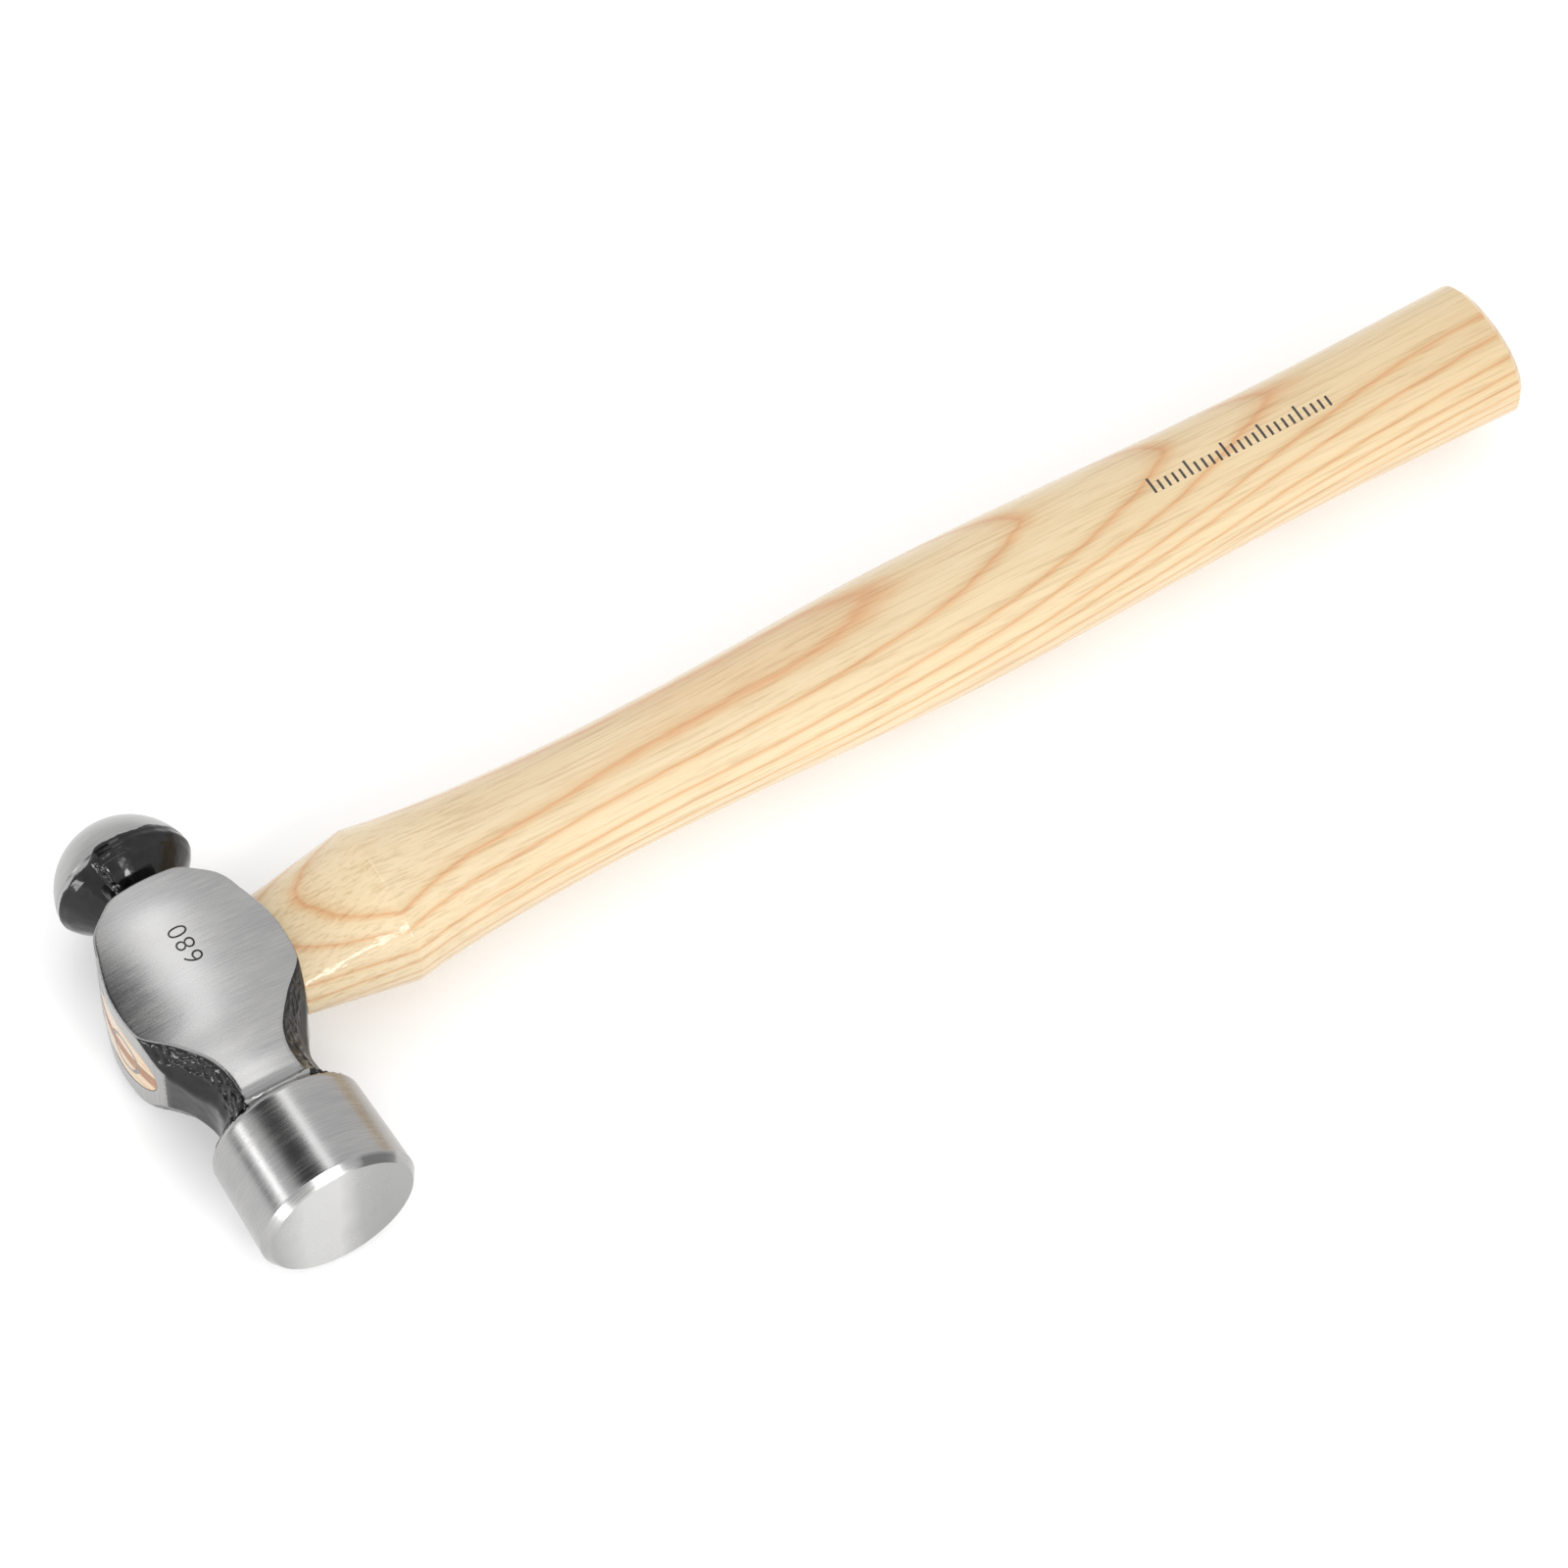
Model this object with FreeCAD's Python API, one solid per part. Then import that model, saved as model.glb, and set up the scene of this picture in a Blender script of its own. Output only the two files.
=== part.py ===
"""Ball peen hammer, 24 oz (680 g): forged steel head on a hickory handle, held by two wedges.

Millimetres. The handle runs along +X, from the head to the butt. The flat striking face looks
along -Y and the ball peen along +Y. +Z is square to the flat cheeks of the head, so the hammer
lies on its side. The origin is inside the eye, where the head's long axis crosses the handle's
axis.
"""

import FreeCAD, Part

import math
import os

Vector = FreeCAD.Vector
ORIGIN = Vector(0, 0, 0)
X_AXIS = Vector(1, 0, 0)
Y_AXIS = Vector(0, 1, 0)
Z_AXIS = Vector(0, 0, 1)

# Poll: the round hammering end, a turned cylinder with a chamfered flat face
FACE_Y = -64.0              # plane of the striking face
FACE_RADIUS = 17.5          # flat part of the face
FACE_CHAMFER = 2.2          # length of the chamfer along the head
POLL_RADIUS = 19.0          # just behind the chamfer
POLL_RIM_Y = -37.8          # back rim of the poll
POLL_RIM_RADIUS = 18.2
POLL_RIM_ROUNDING = 1.8

# Ball peen: a sphere cut off square, with a conical underside down to a narrow neck
BALL_RADIUS = 16.8
BALL_CENTRE_Y = 31.9
BALL_RIM_Y = 33.9           # where the ball stops and its rounded rim begins
BALL_RIM_BACK = 1.5         # length of the rounded rim along the head
BALL_RIM_DROP = 0.9         # how far the rounded rim comes in
BALL_RIM_FULLNESS = (0.25, 0.55)    # shares of the drop and of the length at the rim's middle
BALL_NECK_RADIUS = 8.9
BALL_NECK_Y = 26.1          # where the cone meets the neck
BALL_COVE = 2.0             # radius, roughly, of the hollow between cone and neck
BALL_COVE_RISE = 1.4        # how far the hollow runs up the cone

# Boss: the thick middle of the head, around the eye
CHEEK_CROWN_RADIUS = 113.0  # the cheeks are gently rounded across the head
CHEEK_REACH = 24.0          # half width of the surface that the cheeks are cut with
CHEEK_HEIGHTS = (           # (place along the head, height of the cheek's middle line)
    (POLL_RIM_Y - 1.0, 20.2),
    (POLL_RIM_Y + 0.6, 17.1),
    (-34.5, 14.9),
    (-29.3, 14.0),
    (-22.6, 14.4),
    (-14.4, 15.4),
    (0.0, 15.9),
    (14.4, 15.5),
    (27.1, 13.8),
)
END_POLL = (17.8, -17.4)    # (x, y) where each ground end of the boss starts, crowns and stops
END_CROWN = (20.8, -2.5)
END_BALL = (17.9, 12.3)
POLL_NECK_SIDE = ((19.3, -38.8), (13.8, -35.7), (12.1, -31.3), (14.3, -23.8), END_POLL)
BALL_NECK_SHOULDER = (15.0, 18.7)
BALL_NECK_SIDE = (9.9, 23.2)
BALL_NECK_END = (7.6, 25.7)

# Slanting cuts at the necks, which leave the cheeks with a round outline
NECK_CUT_SLANT = 0.66       # sideways run of the cuts for each unit of depth
CHEEK_EDGE_Z = 14.5         # height at which the outline of the cheek is drawn
POLL_SIDE_EDGE = ((19.3, -10.3), (13.4, -16.8), (8.4, -23.4), (6.8, -30.6), (8.1, -35.5), (12.3, -39.0))
BALL_SIDE_EDGE = ((0.0, 27.1), (8.4, 23.7), (14.5, 19.1), (18.9, 12.5), (21.0, 5.1))
WIDEST_EDGE = (21.2, -3.1)
CUT_CLEARANCE = 10.0        # how far the cuts start above the outline

# Eye: an oval hole, narrowest in the middle, so that the wedged tenon can't pull out
EYE_LENGTH = 27.6           # along the head, at both mouths
EYE_WIDTH = 17.4
EYE_WAIST_LENGTH = 24.2     # halfway through
EYE_WAIST_WIDTH = 15.4
EYE_Y = -1.5                # the eye sits a little towards the poll, midway in the ground ends
EYE_MOUTH_X = 21.2          # the planes of the mouths, just outside the boss

# Handle: an oval shaft with a straight tapered neck, a sharp shoulder and a swelled grip
NECK_X = 17.0               # the neck starts inside the head, and is fitted to the head's end
NECK_LENGTH = 30.6          # its oval there, along the head
NECK_WIDTH = 16.4
SHOULDER_X = 45.3
BUTT_X = 341.5
BUTT_CHAMFER = 1.6
HANDLE_THICKNESS_RATIO = 0.77
GRIP_WIDTHS = (             # (distance from the eye, width along Y)
    (SHOULDER_X, 39.0),
    (57.5, 35.6),
    (78.0, 32.6),
    (107.0, 31.4),
    (144.0, 33.3),
    (170.0, 35.5),
    (205.0, 36.2),
    (242.0, 34.3),
    (279.0, 32.8),
    (310.0, 33.3),
    (BUTT_X, 34.7),
)
OVAL_POWER = 2.2            # 2 would be a plain ellipse, more is squarer
OVAL_POINTS = 24

# Wooden wedge in a kerf along the eye's length, and a round steel ring wedge across it
WEDGE_TOP = 4.1             # thickness at the top of the head
WEDGE_TIP = 1.0
WEDGE_DEPTH = 26.5
RING_Y = -3.9               # the ring sits off the eye's middle, towards the poll
RING_DIAMETER = 11.2
RING_WALL = 0.9
RING_DEPTH = 13.5

REACH = 80.0                # larger than the head in every direction


def line(start, end):
    return Part.makeLine(start, end)


def arc(start, through, end):
    return Part.Arc(start, through, end).toShape()


def curve(points):
    spline = Part.BSplineCurve()
    spline.interpolate(points)
    return spline.toShape()


def face_of(edges):
    return Part.Face(Part.Wire(Part.__sortEdges__(edges)))


def mirrored(shape, normal):
    return shape.mirror(ORIGIN, normal)


def turned(edges):
    """The solid that a half outline in the XY plane makes, turned about the head's axis."""
    return face_of(edges).revolve(ORIGIN, Y_AXIS, 360)


def poll():
    def at(radius, y):
        return Vector(radius, y, 0)

    rounded_y = POLL_RIM_Y - POLL_RIM_ROUNDING
    rim_in = POLL_RIM_RADIUS - POLL_RIM_ROUNDING
    on_round = POLL_RIM_ROUNDING * math.sqrt(0.5)
    return turned([
        line(at(0, FACE_Y), at(FACE_RADIUS, FACE_Y)),
        line(at(FACE_RADIUS, FACE_Y), at(POLL_RADIUS, FACE_Y + FACE_CHAMFER)),
        line(at(POLL_RADIUS, FACE_Y + FACE_CHAMFER), at(POLL_RIM_RADIUS, rounded_y)),
        arc(at(POLL_RIM_RADIUS, rounded_y), at(rim_in + on_round, rounded_y + on_round),
            at(rim_in, POLL_RIM_Y)),
        line(at(rim_in, POLL_RIM_Y), at(0, POLL_RIM_Y)),
        line(at(0, POLL_RIM_Y), at(0, FACE_Y)),
    ])


def ball():
    def at(radius, y):
        return Vector(radius, y, 0)

    def on_sphere(y):
        return math.sqrt(BALL_RADIUS ** 2 - (y - BALL_CENTRE_Y) ** 2)

    rim = at(on_sphere(BALL_RIM_Y), BALL_RIM_Y)
    drop_share, back_share = BALL_RIM_FULLNESS
    rim_middle = at(rim.x - drop_share * BALL_RIM_DROP, BALL_RIM_Y - back_share * BALL_RIM_BACK)
    rim_back = at(rim.x - BALL_RIM_DROP, BALL_RIM_Y - BALL_RIM_BACK)
    cone_foot = at(BALL_NECK_RADIUS + BALL_COVE, BALL_NECK_Y + BALL_COVE_RISE)
    cove_middle = at(BALL_NECK_RADIUS + BALL_COVE / 2, BALL_NECK_Y)
    neck_top = at(BALL_NECK_RADIUS, BALL_NECK_Y - BALL_COVE)
    apex_y = BALL_CENTRE_Y + BALL_RADIUS
    halfway = (BALL_RIM_Y + apex_y) / 2
    return turned([
        arc(at(0, apex_y), at(on_sphere(halfway), halfway), rim),
        arc(rim, rim_middle, rim_back),
        line(rim_back, cone_foot),
        arc(cone_foot, cove_middle, neck_top),
        line(neck_top, at(BALL_NECK_RADIUS, 0)),
        line(at(BALL_NECK_RADIUS, 0), at(0, 0)),
        line(at(0, 0), at(0, apex_y)),
    ])


def side_outline():
    """The head's middle seen square to a cheek, extruded: necks, shoulders and ground ends."""
    def at(x, y):
        return Vector(x, y, -REACH / 2)

    neck_start = at(*POLL_NECK_SIDE[0])
    neck_end = at(*BALL_NECK_END)
    side = [
        line(at(0, neck_start.y), neck_start),
        curve([at(*point) for point in POLL_NECK_SIDE]),
        arc(at(*END_POLL), at(*END_CROWN), at(*END_BALL)),
        arc(at(*END_BALL), at(*BALL_NECK_SHOULDER), at(*BALL_NECK_SIDE)),
        line(at(*BALL_NECK_SIDE), neck_end),
        line(neck_end, at(0, neck_end.y)),
    ]
    return face_of(side + [mirrored(edge, X_AXIS) for edge in side]).extrude(Z_AXIS * REACH)


def cheek_prism():
    """Everything below the upper cheek, whose coves sweep down to both necks."""
    sag = CHEEK_CROWN_RADIUS - math.sqrt(CHEEK_CROWN_RADIUS ** 2 - CHEEK_REACH ** 2)
    ribs = []
    for y, height in CHEEK_HEIGHTS:
        ends = [Vector(side * CHEEK_REACH, y, height - sag) for side in (-1, 1)]
        ribs.append(Part.Wire([arc(ends[0], Vector(0, y, height), ends[1])]))
    surface = Part.makeLoft(ribs, False, False)
    return surface.Faces[0].extrude(Z_AXIS * -REACH)


def slanted_prism():
    """Material inside one slanting pair of neck cuts, which leave the round outline of the cheek."""
    def at(x, y):
        return Vector(x - NECK_CUT_SLANT * CUT_CLEARANCE, y, CHEEK_EDGE_Z + CUT_CLEARANCE)

    poll_end = at(*POLL_SIDE_EDGE[-1])
    ball_end = at(*BALL_SIDE_EDGE[0])
    far_corners = [Vector(-REACH, poll_end.y, poll_end.z), Vector(-REACH, ball_end.y, ball_end.z)]
    outline = [
        curve([at(*point) for point in POLL_SIDE_EDGE]),
        line(poll_end, far_corners[0]),
        line(far_corners[0], far_corners[1]),
        line(far_corners[1], ball_end),
        curve([at(*point) for point in BALL_SIDE_EDGE]),
        arc(at(*BALL_SIDE_EDGE[-1]), at(*WIDEST_EDGE), at(*POLL_SIDE_EDGE[0])),
    ]
    return face_of(outline).extrude(Vector(NECK_CUT_SLANT, 0, -1) * REACH)


def rim_envelope():
    """Keeps the flared end of the poll's neck inside the poll's rim."""
    inside = POLL_RIM_RADIUS - POLL_RIM_ROUNDING
    corners = [
        Vector(0, POLL_RIM_Y - 1, 0),
        Vector(inside, POLL_RIM_Y - 1, 0),
        Vector(inside, POLL_RIM_Y, 0),
        Vector(REACH, POLL_RIM_Y + REACH, 0),
        Vector(0, POLL_RIM_Y + REACH, 0),
    ]
    return Part.Face(Part.makePolygon(corners + corners[:1])).revolve(ORIGIN, Y_AXIS, 360)


def boss():
    upper = cheek_prism()
    slanted = slanted_prism()
    slanted_back = mirrored(slanted, X_AXIS)
    middle = side_outline().common(upper)
    for limit in (mirrored(upper, Z_AXIS), slanted, slanted_back, mirrored(slanted, Z_AXIS),
                  mirrored(slanted_back, Z_AXIS), rim_envelope()):
        middle = middle.common(limit)
    return middle


def oval(x, width, thickness, middle_y=0.0):
    """A closed wire in the plane at x: a slightly squared ellipse, width along Y."""
    points = []
    for index in range(OVAL_POINTS):
        angle = 2 * math.pi * index / OVAL_POINTS
        across = math.copysign(abs(math.cos(angle)) ** (2 / OVAL_POWER), math.cos(angle))
        up = math.copysign(abs(math.sin(angle)) ** (2 / OVAL_POWER), math.sin(angle))
        points.append(Vector(x, middle_y + across * width / 2, up * thickness / 2))
    loop = Part.BSplineCurve()
    loop.interpolate(Points=points, PeriodicFlag=True)
    return Part.Wire([loop.toShape()])


def eye():
    """The oval hole right through the boss, and a little beyond both of its ends."""
    mouths = [
        oval(-EYE_MOUTH_X, EYE_LENGTH, EYE_WIDTH, EYE_Y),
        oval(0, EYE_WAIST_LENGTH, EYE_WAIST_WIDTH, EYE_Y),
        oval(EYE_MOUTH_X, EYE_LENGTH, EYE_WIDTH, EYE_Y),
    ]
    return Part.makeLoft(mouths, True, False)


def wedge_slab():
    """The wedge's taper, before it is trimmed to the eye; its sides lie square to Z."""
    top_x = -EYE_MOUTH_X
    tip_x = top_x + WEDGE_DEPTH
    corners = [
        Vector(top_x, -REACH / 2, -WEDGE_TOP / 2),
        Vector(tip_x, -REACH / 2, -WEDGE_TIP / 2),
        Vector(tip_x, -REACH / 2, WEDGE_TIP / 2),
        Vector(top_x, -REACH / 2, WEDGE_TOP / 2),
    ]
    return Part.Face(Part.makePolygon(corners + corners[:1])).extrude(Y_AXIS * REACH)


def ring_tube():
    start = Vector(-EYE_MOUTH_X, RING_Y, 0)
    depth = RING_DEPTH + EYE_MOUTH_X - END_CROWN[0]
    outer = Part.makeCylinder(RING_DIAMETER / 2, depth, start, X_AXIS)
    return outer.cut(Part.makeCylinder(RING_DIAMETER / 2 - RING_WALL, depth, start, X_AXIS))


def shaft(forging):
    """The part of the handle outside the head: straight neck, then the swelled grip."""
    shoulder_width = GRIP_WIDTHS[0][1]
    shoulder = oval(SHOULDER_X, shoulder_width, shoulder_width * HANDLE_THICKNESS_RATIO)
    neck = Part.makeLoft([oval(NECK_X, NECK_LENGTH, NECK_WIDTH), shoulder], True, True)
    neck = neck.cut(forging)
    ribs = []
    for x, width in GRIP_WIDTHS:
        ribs.append(oval(x, width, width * HANDLE_THICKNESS_RATIO))
    grip = Part.makeLoft(ribs, True, False)
    butt_edges = [edge for edge in grip.Edges if edge.BoundBox.XMin > BUTT_X - 0.1]
    return neck.fuse(grip.makeChamfer(BUTT_CHAMFER, butt_edges))


def single(shape):
    """The one solid of a shape, so that each node's file holds exactly one solid."""
    shape = shape.removeSplitter()
    if len(shape.Solids) != 1 or not shape.isValid():
        raise RuntimeError("expected one valid solid")
    return shape.Solids[0]


def build():
    forging = boss().fuse([poll(), ball()])
    opening = eye()
    outline = side_outline()
    tenon = opening.common(outline)     # ground flush with the boss
    slab = wedge_slab()
    ring = ring_tube().common(outline)
    return {
        "head": single(forging.cut(opening)),
        "handle": single(tenon.cut(slab).cut(ring).fuse(shaft(forging))),
        "wood_wedge": single(tenon.common(slab).cut(ring)),
        "ring_wedge": single(ring),
    }


def main():
    os.makedirs("parts", exist_ok=True)
    for name, solid in build().items():
        solid.exportStep("parts/" + name + ".step")
        print(name, "volume", round(solid.Volume), "mm3")


main()
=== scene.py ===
"""Looks of the ball peen hammer: forged and ground steel head, varnished hickory handle, two wedges.

Everything is in metres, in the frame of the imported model: +X along the handle, -Y towards the
striking face, +Z square to the upper cheek. Shapes are worked out in millimetres, as on a
drawing, and turned into metres when their mesh is made.
"""

import math

import bmesh
import bpy
import numpy as np
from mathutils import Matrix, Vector, noise
from mathutils.bvhtree import BVHTree


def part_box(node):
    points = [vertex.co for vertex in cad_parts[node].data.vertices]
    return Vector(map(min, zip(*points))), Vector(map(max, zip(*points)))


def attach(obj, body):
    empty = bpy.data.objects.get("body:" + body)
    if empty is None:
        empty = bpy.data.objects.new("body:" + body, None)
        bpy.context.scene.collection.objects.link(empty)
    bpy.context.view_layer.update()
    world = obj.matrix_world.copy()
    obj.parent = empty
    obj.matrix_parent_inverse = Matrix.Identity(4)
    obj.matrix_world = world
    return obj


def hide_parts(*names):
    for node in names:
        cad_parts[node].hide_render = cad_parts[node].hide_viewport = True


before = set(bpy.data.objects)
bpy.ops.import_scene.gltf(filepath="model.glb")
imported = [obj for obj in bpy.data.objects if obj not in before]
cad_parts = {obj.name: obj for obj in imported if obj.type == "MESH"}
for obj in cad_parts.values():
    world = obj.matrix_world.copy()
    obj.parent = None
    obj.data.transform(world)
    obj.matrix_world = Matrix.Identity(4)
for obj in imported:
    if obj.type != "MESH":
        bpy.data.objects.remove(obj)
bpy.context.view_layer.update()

MM = 0.001
HEAD_LOW, HEAD_HIGH = (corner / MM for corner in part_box("head"))
HANDLE_LOW, HANDLE_HIGH = (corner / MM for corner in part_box("handle"))

# Poll: a turned cylinder with a chamfered flat face
FACE_Y = HEAD_LOW.y
FACE_RADIUS = 17.5
FACE_CHAMFER = 2.2
POLL_RADIUS = HEAD_HIGH.z
POLL_BACK_RADIUS = 18.2
POLL_BACK_Y = -37.8
POLL_BACK_ROUNDING = 1.8
EDGE_ROUNDING = 0.35

# Metal in the corner where a cheek runs up to the poll's back rim
CORNER_RADIUS = 18.05
CORNER_Y = -38.7
CORNER_SLOPE = 0.95         # how fast it falls away along the head
CORNER_FACING = (0.78, 0.88)    # sines of the angles over which it rises beside a cheek
CORNER_SINK = 4.0           # how far under the rim it lies elsewhere, out of sight

# Ball peen, with a conical underside down to a narrow neck
BALL_RADIUS = 16.8
BALL_CENTRE_Y = HEAD_HIGH.y - BALL_RADIUS
BALL_RIM_Y = 33.9
BALL_RIM_BACK = 1.5
BALL_RIM_DROP = 0.9
BALL_RIM_ROUNDING = 0.9
BALL_BACK_ROUNDING = 0.5
CONE_FOOT_Y = 27.5
CONE_FOOT_RADIUS = 10.9
CONE_END_Y = 29.5           # the boss's even rows of points stop here, part way up the cone
NECK_RADIUS = 8.9

# Middle of the head
CHEEK_CROWN = 113.0
CUT_SLANT = 0.66
CUT_HEIGHT = 14.5
END_CROWN_X = HEAD_HIGH.x
END_CROWN_Y = -2.5
END_CROWN = 38.9
END_Y_POLL, END_Y_BALL = -17.4, 12.3
BOSS_FOOT_Y = 26.4          # the boss stops here, in a steep step down to the ball's neck
BOSS_FOOT_LIP = 0.8
BOSS_FOOT_SLOPE = 3.0

# How widely the edges between the head's surfaces are rounded
END_EDGE = 0.7
HOLLOW_EDGE = 0.8
CUT_EDGE = 0.6
FOOT_EDGE = 1.2
RIM_EDGE = 0.5
NECK_EDGE = 1.2
CONE_EDGE = 2.4

# Black lacquer: how its edge runs round the ball, and the two ridges left by the forging dies
LACQUER_RISE = 0.4          # beyond the ball's rim
LACQUER_STEP = 2.4          # further on one side of the upper seam
UPPER_SEAM = math.radians(114)
LOWER_SEAM = math.radians(-66)
LACQUER_WANDER, WANDER_WAVE = 0.9, 5.0
LACQUER_RAGGEDNESS, RAGGED_WAVE = 0.3, 1.3
FIELD_LIMIT = 3             # the brightness field says nothing about depths beyond this

# Relief of the forging: heights, and the length of the waves that they come in
FOLD_HEIGHT, FOLD_WAVE = 0.38, 1.8      # beside the poll's neck
FOLD_WARP, WARP_WAVE = 1.6, 4.0         # how far the folds are pulled about
FOLD_SHARPNESS = 2.2
SCALE_HEIGHT, SCALE_WAVE = 0.04, 0.9
SIDE_HEIGHT, SIDE_WAVE = 0.06, 2.5      # on the rest of the lacquered boss
LUMP_HEIGHT, LUMP_WAVE = 0.10, 3.2      # under the ball
PIT_HEIGHT, PIT_WAVE = 0.03, 1.1
SEAM_HEIGHT, SEAM_UNEVENNESS = 0.50, 0.45
SEAM_WIDTH, SEAM_WAVE = 0.7, 0.8
GRINDING_HEIGHT, GRINDING_WAVE = 0.012, 6.0     # all over

# Where the relief fades in: from the first value to the second
POLL_SIDE_Y = (-8.0, -14.0)
POLL_SIDE_Z = (8.0, 10.5)
BALL_SIDE_Y = (20.0, 24.0)
ROUGH_FIELD = (0.0, -1.3)   # in the brightness field

# Eye
EYE_LENGTH, EYE_WIDTH = 27.6, 17.4
EYE_WAIST_LENGTH, EYE_WAIST_WIDTH = 24.2, 15.4
EYE_Y = -1.5
EYE_MOUTH_X = 21.2
OVAL_POWER = 2.2
CUTTER_X = 26.0             # the tools that cut the eye and the ring's groove start out here

# Digits sunk in the upper cheek
STAMP_TEXT = "680"          # the head's weight in grams
STAMP_SIZE = 6.6
STAMP_SPACING = 1.12
STAMP_THINNING = 0.08
STAMP_X, STAMP_Y = 0.3, 4.5
STAMP_REACH_X, STAMP_REACH_Y = 4.0, 9.0
STAMP_DEPTH = 0.22

# Patch of the face's chamfer that was left dark: degrees round the head where it fades in and out
PATCH_START = (36, 46)
PATCH_END = (76, 70)
PATCH_DARKNESS = 0.7

# Handle
SHAFT_X = 17.6              # where the shaft starts, inside the head
SHOULDER_X = 45.3
BUTT_X = HANDLE_HIGH.x
TENON_FOOT_X = 12.0
HANDLE_THICKNESS_RATIO = 0.77
TENON_INSET = 0.05          # the tenon's end lies this far inside the head's ground end
TENON_RIM_INSET = 0.15      # and its rim this far
BUTT_ROW_INSETS = (1.6, 1.2, 0.6, 0.2, 0.05)    # rows of points over the butt's chamfer

# Wedges
WEDGE_TOP, WEDGE_TIP, WEDGE_DEPTH = 4.1, 1.0, 26.5
WEDGE_OVERSHOOT = 4.0       # the cutter for the kerf starts this far outside the head
WEDGE_HALF_LENGTH = 30.0
RING_Y, RING_RADIUS, RING_WALL, RING_DEPTH = -3.9, 5.6, 0.9, 13.5
GAP = 0.05

# Printed scale near the butt
PRINT_X, PRINT_Y = 248.0, -2.7
TICKS = 25
TICKS_PER_LONG_TICK = 5
TICK_SPACING = 2.0
TICK_HALF_WIDTH = 0.32
TICK_HEIGHT, LONG_TICK_HEIGHT = 2.9, 4.4
PRINT_STEP = 0.4            # how often a tick is laid on the curved wood
PRINT_LIFT = 0.02

# How finely the skins are divided
HEAD_COLUMNS = 512
HEAD_ROW_STEP = 0.25
BALL_CAP_ROWS = 60
HANDLE_COLUMNS = 192
ARC_STEPS = 5

# Wood: growth rings round a pith that runs far under the handle
PITH_Y, PITH_Z = -0.0233, -0.1896       # metres, beside the head
PITH_SLOPE_Y, PITH_SLOPE_Z = -0.136, 0.0386     # metres sideways for each metre of handle
TOP_RADIUS = 0.2015         # of the ring at the handle's upper side; depths are counted from it
RING_COUNT = 20
RINGED_DEPTH = (-0.006, 0.054)          # depths in metres that hold these rings
RING_PLACES = (             # (share of that depth, share of the rings), which are not evenly spaced
    (0.0, 0.055), (0.10, 0.10), (0.143, 0.15), (0.215, 0.20), (0.263, 0.25), (0.323, 0.30),
    (0.365, 0.35), (0.428, 0.40), (0.480, 0.45), (0.523, 0.50), (0.567, 0.55), (0.610, 0.60),
    (0.80, 0.80), (1.0, 1.0),
)
BEND_LENGTH = 0.35
BEND_HEIGHT = 0.0197
BEND_OFFSET = -0.0190
BEND = (                    # (share of the length, share of the height) of the tree's own bend
    (0.0, 0.97), (0.143, 0.963), (0.257, 1.0), (0.40, 0.98), (0.543, 0.85), (0.686, 0.65),
    (0.829, 0.40), (0.975, 0.25), (1.0, 0.24),
)

# Studio. Directions are (azimuth, elevation) in degrees from the origin; the rest is in metres
SOFTBOXES = (               # name, azimuth, elevation, distance, width, height, brightness
    ("top_softbox", 77, 62, 1.2, 0.25, 0.70, 1.9),
    ("side_softbox", 151, 20, 1.2, 0.17, 0.17, 5.5),
    ("key_light", -90, 46, 1.3, 0.70, 0.20, 8),
    ("front_strip", -85, 27, 1.3, 0.24, 0.20, 20),
    ("left_strip", -156, 8, 1.2, 0.60, 0.20, 12),
)
FLAGS = (                   # name, azimuth, elevation, distance, width, height
    ("high_flag", 121, 54, 0.9, 0.50, 0.66),
    ("low_flag", 153, 4, 0.9, 0.50, 0.10),
)
FLOOR_HALF_SIZE = 3.0
FLOOR_CELLS = 8
SENSOR_WIDTH = 36.0         # millimetres, as is the focal length
FOCAL_LENGTH = 161.0
CAMERA_PLACE = (-0.3100, -0.7222, 1.3304)
CAMERA_TURN = (32.079, -0.719, -31.398)


# Curves and blends ----------------------------------------------------------------------------

def smooth_curve(*points):
    """A function through a few (place, value) points, with no corners, straight past its ends."""
    places, values = (np.array(column, float) for column in zip(*points))
    slopes = np.gradient(values, places)

    def value_at(place):
        place = np.asarray(place, float)
        inside = np.clip(place, places[0], places[-1])
        left = np.clip(np.searchsorted(places, inside, side="right") - 1, 0, len(places) - 2)
        span = places[left + 1] - places[left]
        t = (inside - places[left]) / span
        value = (
            (2 * t ** 3 - 3 * t ** 2 + 1) * values[left]
            + (t ** 3 - 2 * t ** 2 + t) * span * slopes[left]
            + (3 * t ** 2 - 2 * t ** 3) * values[left + 1]
            + (t ** 3 - t ** 2) * span * slopes[left + 1]
        )
        beyond = place - inside
        return value + beyond * np.where(beyond < 0, slopes[0], slopes[-1])

    return value_at


def smooth_min(a, b, softness):
    """The lower of two surfaces, with the crease between them rounded."""
    near = np.maximum(softness - np.abs(a - b), 0) / softness
    return np.minimum(a, b) - near * near * softness / 4


def smooth_max(a, b, softness):
    return -smooth_min(-a, -b, softness)


def smooth_step(low, high, value):
    t = np.clip((value - low) / (high - low), 0, 1)
    return t * t * (3 - 2 * t)


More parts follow.
